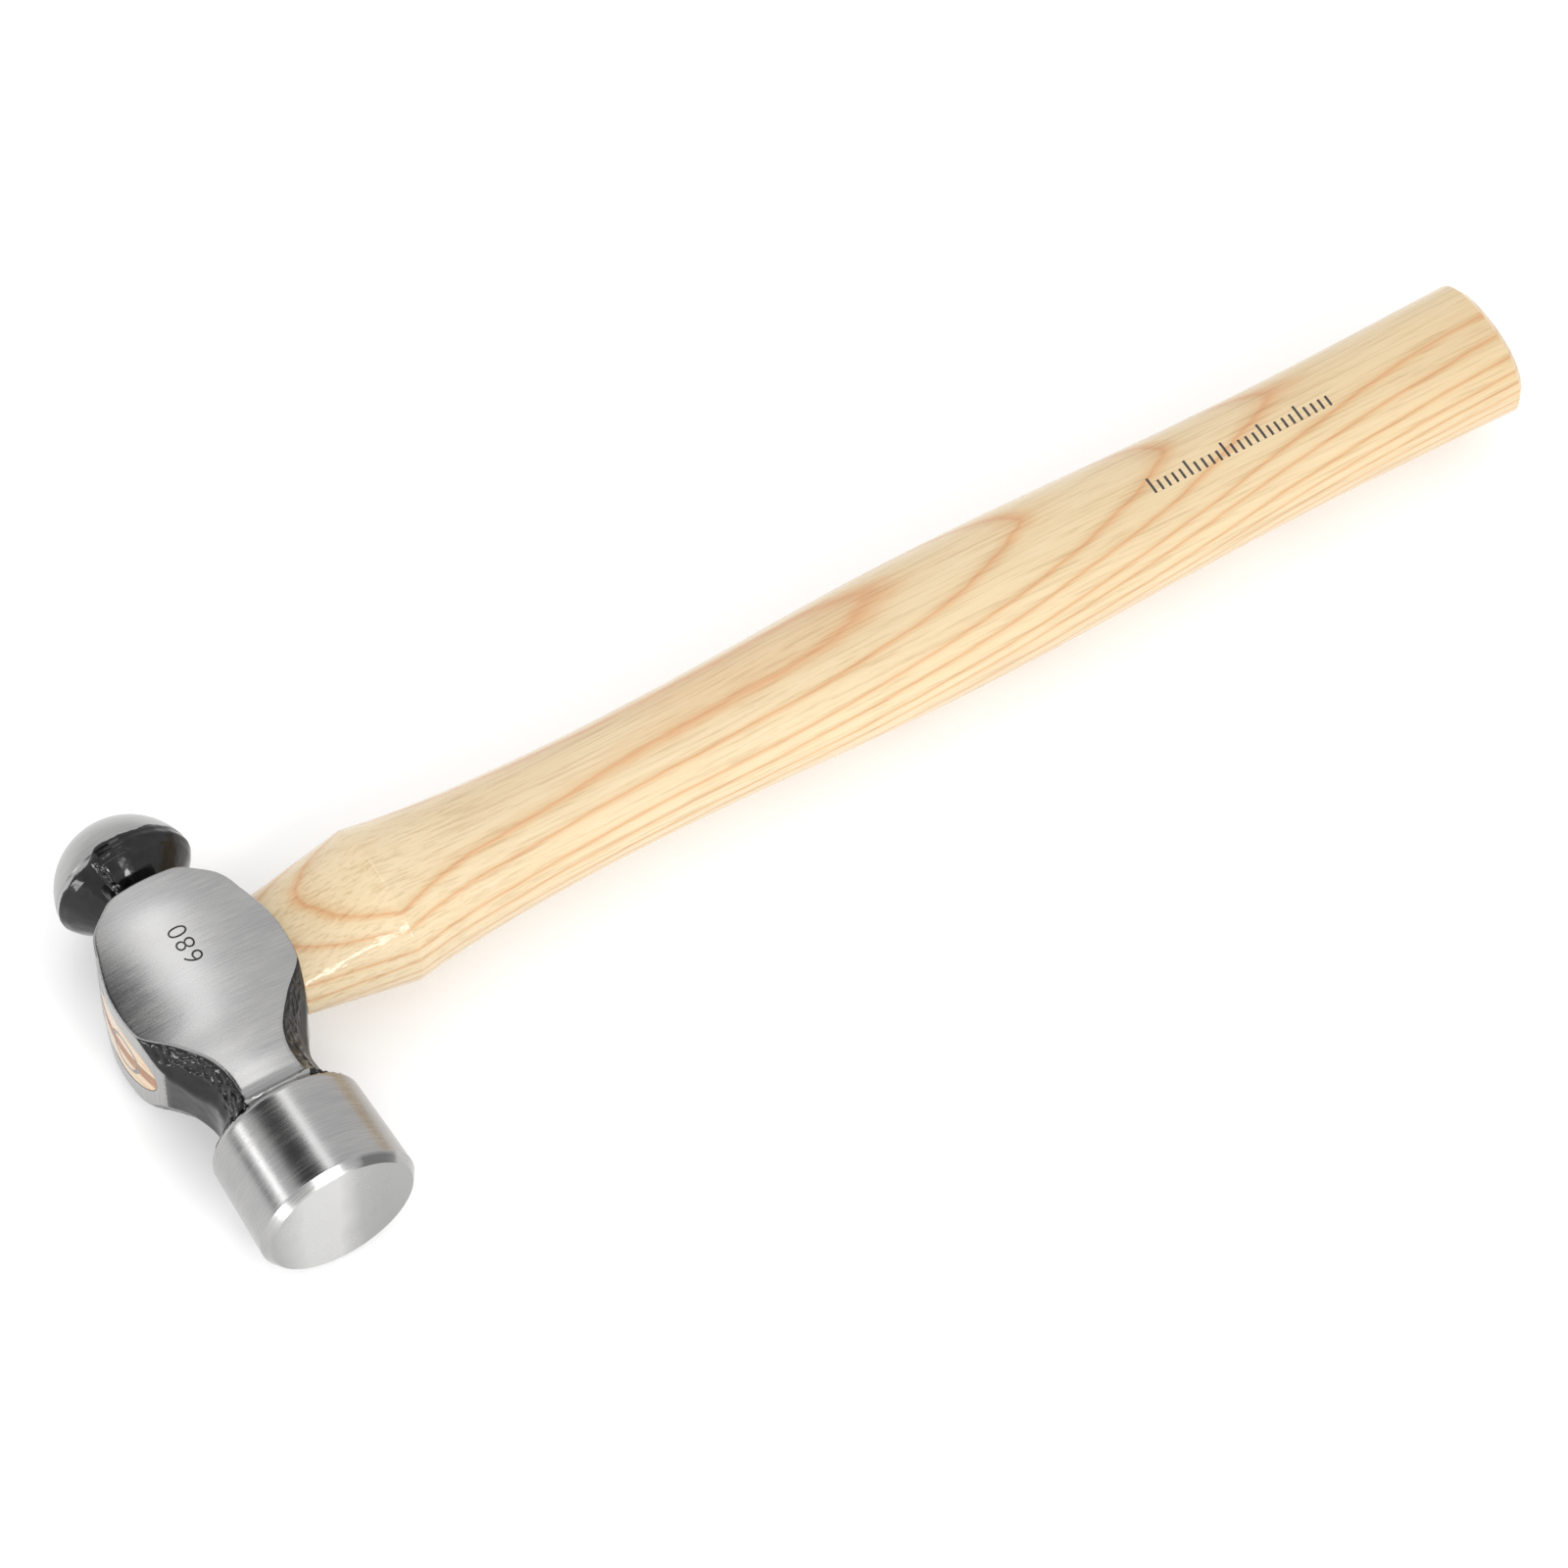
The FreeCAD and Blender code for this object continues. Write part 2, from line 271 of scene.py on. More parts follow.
def rounded_path(corners, step):
    """(radius, y) points along a turned outline. Each corner is (radius, y, rounding)."""
    corners = [(np.array(corner[:2], float), corner[2]) for corner in corners]
    points = [corners[0][0]]
    for index in range(1, len(corners)):
        here, rounding = corners[index]
        before = corners[index - 1][0]
        back = (before - here) / np.linalg.norm(before - here)
        if index == len(corners) - 1 or rounding == 0:
            target = [here]
        else:
            after = corners[index + 1][0]
            on = (after - here) / np.linalg.norm(after - here)
            half_turn = math.acos(np.clip(back @ on, -1, 1)) / 2
            reach = rounding / math.tan(half_turn)
            start, end = here + back * reach, here + on * reach
            centre = here + (back + on) / np.linalg.norm(back + on) * rounding / math.sin(half_turn)
            target = [start]
            for part in np.linspace(0, 1, ARC_STEPS + 1)[1:]:
                spoke = (start - centre) * (1 - part) + (end - centre) * part
                target.append(centre + spoke / np.linalg.norm(spoke) * rounding)
        run = target[0] - points[-1]
        pieces = max(1, round(float(np.linalg.norm(run)) / step))
        points += [points[-1] + run * (k / pieces) for k in range(1, pieces)]
        points += target
    return points


# The head's surfaces --------------------------------------------------------------------------
# These four outlines give, at a place along the head, a height or a half width there.

cheek_height = smooth_curve(
    (-38.8, 20.2), (-37.2, 17.1), (-34.5, 14.9), (-29.3, 14.0), (-22.6, 14.4), (-14.4, 15.4),
    (0.0, 15.9), (14.4, 15.5), (27.1, 13.8),
)
poll_side_hollow = smooth_curve(
    (-38.8, 19.3), (-35.7, 13.8), (-31.3, 12.1), (-23.8, 14.3), (-17.4, 17.8), (-12.0, 21.4),
)
ball_side_hollow = smooth_curve(
    (6.0, 19.9), (12.3, 17.9), (18.7, 15.0), (23.2, 9.9), (25.7, 7.6),
)
slanting_cut = smooth_curve(
    (-39.0, 12.3), (-35.5, 8.1), (-30.6, 6.8), (-23.4, 8.4), (-16.8, 13.4), (-10.3, 19.3),
    (-3.1, 21.2), (5.1, 21.0), (12.5, 18.9), (19.1, 14.5), (23.7, 8.4), (27.1, 0.0),
)


def ground_end(y):
    """Height over the middle plane of the ends that the eye opens in."""
    away = np.clip(y, END_Y_POLL, END_Y_BALL) - END_CROWN_Y
    return END_CROWN_X - END_CROWN + np.sqrt(END_CROWN ** 2 - away ** 2)


def cheek_surface(x, y):
    """Height over the middle plane of the upper cheek's crowned surface."""
    return cheek_height(y) - CHEEK_CROWN + np.sqrt(CHEEK_CROWN ** 2 - x ** 2)


def head_surfaces(angle, y):
    """Distances from the head's axis: ground cheek and end, lacquered hollow, cut and foot, neck."""
    side, up = np.abs(np.cos(angle)), np.abs(np.sin(angle))
    tiny = 1e-6
    drop = cheek_height(y) - CHEEK_CROWN
    cheek = up * drop + np.sqrt(CHEEK_CROWN ** 2 - drop ** 2 * (1 - up ** 2))
    end = ground_end(y) / np.maximum(side, tiny)
    hollow = np.minimum(poll_side_hollow(y), ball_side_hollow(y)) / np.maximum(side, tiny)
    cut = (slanting_cut(y) + CUT_SLANT * CUT_HEIGHT) / (side + CUT_SLANT * up)
    foot = NECK_RADIUS + BOSS_FOOT_LIP + BOSS_FOOT_SLOPE * (BOSS_FOOT_Y - y) + 0 * angle
    cone = CONE_FOOT_RADIUS + (y - CONE_FOOT_Y)
    neck = smooth_max(NECK_RADIUS + 0 * y, cone, CONE_EDGE) + 0 * angle
    return cheek, end, hollow, cut, foot, neck


def corner_fill(angle, y):
    """Radius of the metal in the corner where the cheeks run up to the poll's back rim."""
    beside_cheek = smooth_step(*CORNER_FACING, np.abs(np.sin(angle)))
    fill = CORNER_RADIUS - CORNER_SLOPE * (y - CORNER_Y) - CORNER_SINK * (1 - beside_cheek)
    return np.minimum(fill, CORNER_RADIUS)


def head_radius(angle, y):
    """Distance from the head's axis to its skin, between the poll and the ball."""
    cheek, end, hollow, cut, foot, neck = head_surfaces(angle, y)
    rim = POLL_BACK_RADIUS - POLL_BACK_ROUNDING + (y - POLL_BACK_Y) + 0 * angle
    rim = np.maximum(rim, corner_fill(angle, y))
    boss = smooth_min(cheek, end, END_EDGE)
    boss = smooth_min(boss, hollow, HOLLOW_EDGE)
    boss = smooth_min(boss, cut, CUT_EDGE)
    boss = smooth_min(boss, foot, FOOT_EDGE)
    boss = smooth_min(boss, rim, RIM_EDGE)
    return smooth_max(boss, np.where(y < 0, 0, neck), NECK_EDGE)


def wavy(points, size, seed):
    """Smooth noise from -1 to 1 at points in millimetres, with waves about size long."""
    shift = Vector((seed * 17.3, seed * 5.1, seed * 9.7))
    return np.array([noise.noise(Vector(point) / size + shift) for point in points])


def brightness_field(points):
    """How far, in millimetres, a point is inside the ground steel; below 0 it is lacquered."""
    x, y, z = points.T
    angle = np.arctan2(z, x)
    cheek, end, hollow, cut, foot, neck = head_surfaces(angle, y)
    ground = np.minimum(cheek, end)
    boss = np.minimum(np.minimum(hollow, cut), foot) - ground
    on_neck = np.minimum(np.minimum(hollow, cut), ground) < neck
    boss = np.where(on_neck | (y > CONE_FOOT_Y + 0.5), -FIELD_LIMIT, boss)
    past_seam = smooth_step(-0.10, 0.10, np.sin(UPPER_SEAM - angle))
    edge = BALL_RIM_Y + LACQUER_RISE + LACQUER_STEP * past_seam
    edge += LACQUER_WANDER * wavy(points, WANDER_WAVE, 3)
    edge += LACQUER_RAGGEDNESS * wavy(points, RAGGED_WAVE, 4)
    boss = np.clip(boss, -FIELD_LIMIT, FIELD_LIMIT)
    ball = np.clip(y - edge, -FIELD_LIMIT, FIELD_LIMIT)
    on_poll = smooth_step(POLL_BACK_Y - 0.1, POLL_BACK_Y - 0.7, y)
    return np.maximum(boss, ball) * (1 - on_poll) + FIELD_LIMIT * on_poll


# Meshes ---------------------------------------------------------------------------------------

def mesh_object(name, points, faces, smooth=True):
    """A mesh piece from points in millimetres."""
    mesh = bpy.data.meshes.new(name)
    mesh.from_pydata([tuple(point) for point in np.asarray(points) * MM], [], faces)
    mesh.validate()
    if smooth:
        mesh.polygons.foreach_set("use_smooth", [True] * len(mesh.polygons))
    mesh.update()
    piece = bpy.data.objects.new(name, mesh)
    bpy.context.scene.collection.objects.link(piece)
    return piece


def skin(name, rings, first_tip, last_tip):
    """A closed tube through rings of equal point count, with a fan at each end."""
    count = len(rings[0])
    points = np.vstack(list(rings) + [[first_tip], [last_tip]])
    first, last = len(points) - 2, len(points) - 1
    faces = []
    for row in range(len(rings) - 1):
        for column in range(count):
            following = (column + 1) % count
            low, high = row * count, (row + 1) * count
            faces.append((low + column, low + following, high + following, high + column))
    end = (len(rings) - 1) * count
    for column in range(count):
        following = (column + 1) % count
        faces.append((first, following, column))
        faces.append((last, end + column, end + following))
    return mesh_object(name, points, faces)


def face_outwards(piece):
    shape = bmesh.new()
    shape.from_mesh(piece.data)
    bmesh.ops.recalc_face_normals(shape, faces=shape.faces)
    shape.to_mesh(piece.data)
    shape.free()
    return piece


def combine(piece, other, operation):
    """piece with other cut away, or the part they have in common; other is used up."""
    face_outwards(other)
    modifier = piece.modifiers.new("combine", "BOOLEAN")
    modifier.operation = operation
    modifier.solver = "MANIFOLD"
    modifier.object = other
    apply_modifiers(piece)
    bpy.data.objects.remove(other)


def apply_modifiers(piece):
    graph = bpy.context.evaluated_depsgraph_get()
    graph.update()
    result = bpy.data.meshes.new_from_object(piece.evaluated_get(graph))
    piece.modifiers.clear()
    old = piece.data
    piece.data = result
    bpy.data.meshes.remove(old)


def duplicate(piece, name):
    twin = bpy.data.objects.new(name, piece.data.copy())
    bpy.context.scene.collection.objects.link(twin)
    return twin


def sharpen(piece, degrees):
    """Shades every edge that turns by more than this as a crease."""
    piece.data.set_sharp_from_angle(angle=math.radians(degrees))


def coordinates(piece):
    """The places of a piece's points, in millimetres."""
    flat = np.empty(len(piece.data.vertices) * 3, np.float32)
    piece.data.vertices.foreach_get("co", flat)
    return flat.reshape(-1, 3).astype(float) / MM


def move_points(piece, points):
    """Puts a piece's points at these places, in millimetres."""
    piece.data.vertices.foreach_set("co", (points * MM).astype(np.float32).ravel())
    piece.data.update()


def store(piece, name, values):
    """Keeps one number per point, for a material to read."""
    attribute = piece.data.attributes.new(name, "FLOAT", "POINT")
    attribute.data.foreach_set("value", np.asarray(values, np.float32))


# Head -----------------------------------------------------------------------------------------

def ring_at(radius, y, angle):
    return np.c_[radius * np.cos(angle), np.full(HEAD_COLUMNS, y), radius * np.sin(angle)]


def turned_rings(path, angle):
    return [ring_at(radius, y, angle) for radius, y in path]


def poll_rings(angle):
    path = rounded_path([
        (1.0, FACE_Y, 0), (FACE_RADIUS, FACE_Y, EDGE_ROUNDING),
        (POLL_RADIUS, FACE_Y + FACE_CHAMFER, EDGE_ROUNDING),
        (POLL_BACK_RADIUS, POLL_BACK_Y, POLL_BACK_ROUNDING),
        (POLL_BACK_RADIUS - POLL_BACK_ROUNDING, POLL_BACK_Y, 0),
    ], step=0.8)
    rings = []
    for radius, y in path:
        if y > CORNER_Y - 0.6:
            radius = np.maximum(radius, corner_fill(angle, y))
        rings.append(ring_at(radius, y, angle))
    return rings


def boss_rings(angle):
    rows = round((CONE_END_Y - POLL_BACK_Y) / HEAD_ROW_STEP)
    rings = []
    for y in np.linspace(POLL_BACK_Y, CONE_END_Y, rows + 1)[1:]:
        rings.append(ring_at(head_radius(angle, np.full(HEAD_COLUMNS, y)), y, angle))
    return rings


def ball_rings(angle):
    rim_radius = math.sqrt(BALL_RADIUS ** 2 - (BALL_RIM_Y - BALL_CENTRE_Y) ** 2)
    path = rounded_path([
        (CONE_FOOT_RADIUS + CONE_END_Y - CONE_FOOT_Y, CONE_END_Y, 0),
        (rim_radius - BALL_RIM_DROP - 0.3, BALL_RIM_Y - BALL_RIM_BACK - 0.2, BALL_BACK_ROUNDING),
        (rim_radius, BALL_RIM_Y, BALL_RIM_ROUNDING),
        (rim_radius - 0.35, BALL_RIM_Y + 1.4, 0),
    ], step=0.25)
    cap_start = math.asin((BALL_RIM_Y + 1.7 - BALL_CENTRE_Y) / BALL_RADIUS)
    cap_end = math.radians(88.5)
    for lift in np.linspace(cap_start, cap_end, BALL_CAP_ROWS):
        path.append((BALL_RADIUS * math.cos(lift), BALL_CENTRE_Y + BALL_RADIUS * math.sin(lift)))
    return turned_rings(path[1:], angle)


def head_rings():
    angle = np.linspace(0, 2 * math.pi, HEAD_COLUMNS, endpoint=False)
    return poll_rings(angle) + boss_rings(angle) + ball_rings(angle)


def forging_relief(points, field):
    """Outward shift of each point: folds, scale and seams where the forging was left unground."""
    x, y, z = points.T
    angle = np.arctan2(z, x)
    radius = np.hypot(x, z)
    rough = smooth_step(*ROUGH_FIELD, field)
    pull = np.c_[wavy(points, WARP_WAVE, 5), wavy(points, WARP_WAVE, 6), wavy(points, WARP_WAVE, 7)]
    folds = 1 - FOLD_SHARPNESS * np.abs(wavy(points + pull * FOLD_WARP, FOLD_WAVE, 8))
    near_poll = smooth_step(*POLL_SIDE_Y, y) * smooth_step(*POLL_SIDE_Z, np.abs(z))
    on_ball = smooth_step(*BALL_SIDE_Y, y)
    shift = near_poll * (FOLD_HEIGHT * folds + SCALE_HEIGHT * wavy(points, SCALE_WAVE, 9))
    shift += on_ball * LUMP_HEIGHT * wavy(points, LUMP_WAVE, 10)
    shift += on_ball * PIT_HEIGHT * wavy(points, PIT_WAVE, 11)
    shift += (1 - on_ball) * (1 - near_poll) * SIDE_HEIGHT * wavy(points, SIDE_WAVE, 12)
    seam_height = SEAM_HEIGHT + SEAM_UNEVENNESS * wavy(points, SEAM_WAVE, 13)
    for seam in (UPPER_SEAM, LOWER_SEAM):
        away = np.abs(np.angle(np.exp(1j * (angle - seam)))) * radius
        shift += on_ball * np.exp(-(away / SEAM_WIDTH) ** 2) * seam_height
    return rough * shift + GRINDING_HEIGHT * wavy(points, GRINDING_WAVE, 14)


def eye_cutter():
    turn = np.linspace(0, 2 * math.pi, 128, endpoint=False)
    rings = [eye_oval(turn, x, 0.0) for x in np.linspace(-CUTTER_X, CUTTER_X, 27)]
    return skin("eye_cutter", rings, (-CUTTER_X, 0, 0), (CUTTER_X, 0, 0))


def eye_oval(turn, x, clearance):
    """The eye's outline at x, which may differ from point to point, less a clearance all round."""
    bulge = (x / EYE_MOUTH_X) ** 2
    length = EYE_WAIST_LENGTH + (EYE_LENGTH - EYE_WAIST_LENGTH) * bulge - 2 * clearance
    width = EYE_WAIST_WIDTH + (EYE_WIDTH - EYE_WAIST_WIDTH) * bulge - 2 * clearance
    return oval(turn, x, length, width) + [0, EYE_Y, 0]


def oval(turn, x, length, width):
    across, up = np.cos(turn), np.sin(turn)
    y = np.sign(across) * np.abs(across) ** (2 / OVAL_POWER) * length / 2
    z = np.sign(up) * np.abs(up) ** (2 / OVAL_POWER) * width / 2
    return np.c_[x + 0 * turn, y, z]


def make_digits():
    """The digits as a thin text object, lying flat at the origin."""
    text = bpy.data.curves.new("stamp", "FONT")
    text.body = STAMP_TEXT
    text.size = STAMP_SIZE * MM
    text.space_character = STAMP_SPACING
    text.offset = -STAMP_THINNING * MM
    text.extrude = 1.0 * MM
    text.align_x = "CENTER"
    text.align_y = "CENTER"
    text.resolution_u = 6
    writer = bpy.data.objects.new("stamp", text)
    bpy.context.scene.collection.objects.link(writer)
    return writer


def stamp_cutter():
    """The digits as solids that reach from over the upper cheek to just under its surface."""
    writer = make_digits()
    graph = bpy.context.evaluated_depsgraph_get()
    graph.update()
    mesh = bpy.data.meshes.new_from_object(writer.evaluated_get(graph))
    bpy.data.objects.remove(writer)
    piece = bpy.data.objects.new("stamp_cutter", mesh)
    bpy.context.scene.collection.objects.link(piece)
    shape = bmesh.new()
    shape.from_mesh(mesh)
    bmesh.ops.remove_doubles(shape, verts=shape.verts, dist=1e-6)
    shape.to_mesh(mesh)
    shape.free()
    flat = coordinates(piece)
    x = -flat[:, 1] + STAMP_X
    y = flat[:, 0] + STAMP_Y
    surface = cheek_surface(x, y)
    z = np.where(flat[:, 2] < 0, surface - STAMP_DEPTH, surface + 1.0)
    move_points(piece, np.c_[x, y, z])
    return piece


def tarnish(points):
    """1 in the sunk digits, and less on a patch of the face's chamfer that was left unground."""
    x, y, z = points.T
    near_digits = (np.abs(x) < STAMP_REACH_X) & (np.abs(y - STAMP_Y) < STAMP_REACH_Y)
    digits = near_digits & (z > 12) & (cheek_surface(x, y) - z > STAMP_DEPTH - 0.1)
    angle = np.degrees(np.arctan2(z, x)) + 4 * wavy(points, 2.0, 15)
    chamfer_end = FACE_Y + FACE_CHAMFER
    patch = smooth_step(*PATCH_START, angle) * smooth_step(*PATCH_END, angle)
    patch *= smooth_step(chamfer_end + 0.1, chamfer_end - 0.3, y)
    on_face = np.hypot(x, z) < FACE_RADIUS - 0.1
    return np.maximum(digits, np.where(on_face, 0, PATCH_DARKNESS * patch))


def make_head():
    head = skin("head_forging", head_rings(), (0, FACE_Y, 0), (0, HEAD_HIGH.y, 0))
    face_outwards(head)
    points = coordinates(head)
    field = brightness_field(points)
    outwards = points * [1, 0, 1]
    outwards /= np.maximum(np.linalg.norm(outwards, axis=1), 0.5)[:, None]
    points += outwards * forging_relief(points, field)[:, None]
    points = np.clip(points, HEAD_LOW, HEAD_HIGH)
    move_points(head, points)
    combine(head, eye_cutter(), "DIFFERENCE")
    combine(head, stamp_cutter(), "DIFFERENCE")
    points = coordinates(head)
    store(head, "ground", brightness_field(points))
    store(head, "tarnish", tarnish(points))
    sharpen(head, 50)
    head.data.materials.clear()
    head.data.materials.append(steel_material())
    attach(head, "root")
    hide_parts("head")


# Handle and wedges ----------------------------------------------------------------------------

def tenon_rings(turn):
    """Rings over the tenon's crowned end, then down the eye and into the head."""
    rings = []
    top = eye_oval(turn, -END_CROWN_X, GAP)
    middle = np.array([0, EYE_Y, 0])
    for share in np.linspace(0.06, 0.97, 22):
        ring = middle + (top - middle) * share
        ring[:, 0] = TENON_INSET - ground_end(ring[:, 1])
        rings.append(ring)
    for share in np.linspace(0, 1, 24):
        x = (TENON_RIM_INSET - ground_end(top[:, 1])) * (1 - share) + TENON_FOOT_X * share
        rings.append(eye_oval(turn, x, GAP))
    return rings


def shaft_stations():
    """Places along the handle, closer together wherever its outline bends sharply."""
    return np.concatenate([
        np.linspace(SHAFT_X, SHAFT_X + 4.4, 12),
        np.linspace(SHAFT_X + 4.9, SHOULDER_X - 0.7, 36),
        SHOULDER_X + np.array([-0.3, 0.0, 0.3]),
        np.linspace(SHOULDER_X + 0.7, BUTT_X - 2.1, 320),
        BUTT_X - np.array(BUTT_ROW_INSETS),
    ])


def make_tenon_and_shaft():
    """The whole handle as one skin, before the saw kerf and the ring are cut into its top."""
    turn = np.linspace(0, 2 * math.pi, HANDLE_COLUMNS, endpoint=False)
    rings = tenon_rings(turn)
    tree = BVHTree.FromObject(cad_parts["handle"], bpy.context.evaluated_depsgraph_get())
    for x in shaft_stations():
        rings.append(wrapped_ring(tree, turn, x))
    last = rings[-1]
    for share in (0.985, 0.95, 0.8, 0.6, 0.4, 0.2, 0.06):
        ring = last * [1, share, share]
        ring[:, 0] = BUTT_X
        rings.append(ring)
    first_tip = (TENON_INSET - ground_end(EYE_Y), EYE_Y, 0)
    return face_outwards(skin("handle_hickory", rings, first_tip, (BUTT_X, 0, 0)))


def wrapped_ring(tree, turn, x):
    """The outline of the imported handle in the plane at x."""
    reach = 60.0
    ring = []
    for y, z in oval(turn, x, 2, 2 * HANDLE_THICKNESS_RATIO)[:, 1:]:
        outwards = Vector((0, y, z)).normalized()
        start = (Vector((x, 0, 0)) + outwards * reach) * MM
        hit = tree.ray_cast(start, -outwards)[0]
        ring.append(hit / MM)
    return np.array(ring)


def slab_cutter(clearance):
    """A tapered slab for the wooden wedge; clearance makes the kerf for it a little wider."""
    slope = (WEDGE_TOP - WEDGE_TIP) / WEDGE_DEPTH
    start_x = -EYE_MOUTH_X - WEDGE_OVERSHOOT
    tip_x = WEDGE_DEPTH - EYE_MOUTH_X
    half_start = (WEDGE_TOP + WEDGE_OVERSHOOT * slope) / 2 + clearance
    half_tip = WEDGE_TIP / 2 + clearance
    corners = []
    for y in (-WEDGE_HALF_LENGTH, WEDGE_HALF_LENGTH):
        for x, half in ((start_x, half_start), (tip_x, half_tip)):
            corners += [(x, y, -half), (x, y, half)]
    faces = [(0, 1, 3, 2), (4, 6, 7, 5), (0, 2, 6, 4), (1, 5, 7, 3), (0, 4, 5, 1), (2, 3, 7, 6)]
    return face_outwards(mesh_object("slab_cutter", corners, faces, smooth=False))


def tube_cutter(clearance):
    """A tube for the ring wedge; clearance makes the groove for it a little wider."""
    turn = np.linspace(0, 2 * math.pi, 96, endpoint=False)
    end_x = RING_DEPTH - END_CROWN_X
    outer, inner = RING_RADIUS + clearance, RING_RADIUS - RING_WALL - clearance
    section = [(-CUTTER_X, outer), (end_x, outer), (end_x, inner), (-CUTTER_X, inner)]
    points = []
    for x, radius in section:
        y = RING_Y + radius * np.cos(turn)
        points += list(np.c_[np.full_like(turn, x), y, radius * np.sin(turn)])
    count = len(turn)
    faces = []
    for row in range(len(section)):
        low, high = row * count, (row + 1) % len(section) * count
        for column in range(count):
            following = (column + 1) % count
            faces.append((low + column, low + following, high + following, high + column))
    return face_outwards(mesh_object("tube_cutter", points, faces))


def make_handle_and_wedges():
    handle = make_tenon_and_shaft()
    wedge = duplicate(handle, "wood_wedge_end")
    ring = duplicate(handle, "ring_wedge_end")
    combine(handle, slab_cutter(GAP), "DIFFERENCE")
    combine(handle, tube_cutter(GAP), "DIFFERENCE")
    combine(wedge, slab_cutter(0), "INTERSECT")
    combine(wedge, tube_cutter(GAP), "DIFFERENCE")
    combine(ring, tube_cutter(0), "INTERSECT")
    sharpen(handle, 38)
    for piece, node, slot, material in (
        (handle, "handle", "handle_wood", handle_material()),
        (wedge, "wood_wedge", "wedge_wood", wedge_material()),
        (ring, "ring_wedge", "ring_steel", ring_material()),
    ):
        piece.data.materials.clear()
        piece.data.materials.append(material)
        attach(piece, "root")
        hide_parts(node)
    sharpen(wedge, 30)
    sharpen(ring, 30)
    return handle


def lay_bar(tree, x0, x1, y0, y1):
    """Points and faces of a flat bar laid along y on the handle's upper side."""
    steps = max(2, round((y1 - y0) / PRINT_STEP))
    points = []
    for part in np.linspace(0, 1, steps + 1):
        y = y0 + (y1 - y0) * part
        for x in (x0, x1):
            above = Vector((x, y, 40)) * MM
            hit, normal = tree.ray_cast(above, Vector((0, 0, -1)))[:2]
            points.append(np.array((hit + normal * PRINT_LIFT * MM) / MM))
    faces = [(2 * row, 2 * row + 1, 2 * row + 3, 2 * row + 2) for row in range(steps)]
    return points, faces


def make_print(handle):
    """A plain printed tick scale near the butt, wrapped on the varnish."""
    tree = BVHTree.FromObject(handle, bpy.context.evaluated_depsgraph_get())
    points, faces = [], []
    for tick in range(TICKS):
        x = PRINT_X + tick * TICK_SPACING
        height = TICK_HEIGHT if tick % TICKS_PER_LONG_TICK else LONG_TICK_HEIGHT
        bar_points, bar_faces = lay_bar(
            tree, x - TICK_HALF_WIDTH, x + TICK_HALF_WIDTH, PRINT_Y, PRINT_Y + height)
        faces += [tuple(len(points) + corner for corner in face) for face in bar_faces]
        points += bar_points
    scale = mesh_object("printed_scale", points, faces, smooth=False)
    scale.data.materials.append(ink_material())
    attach(scale, "root")


# Materials ------------------------------------------------------------------------------------

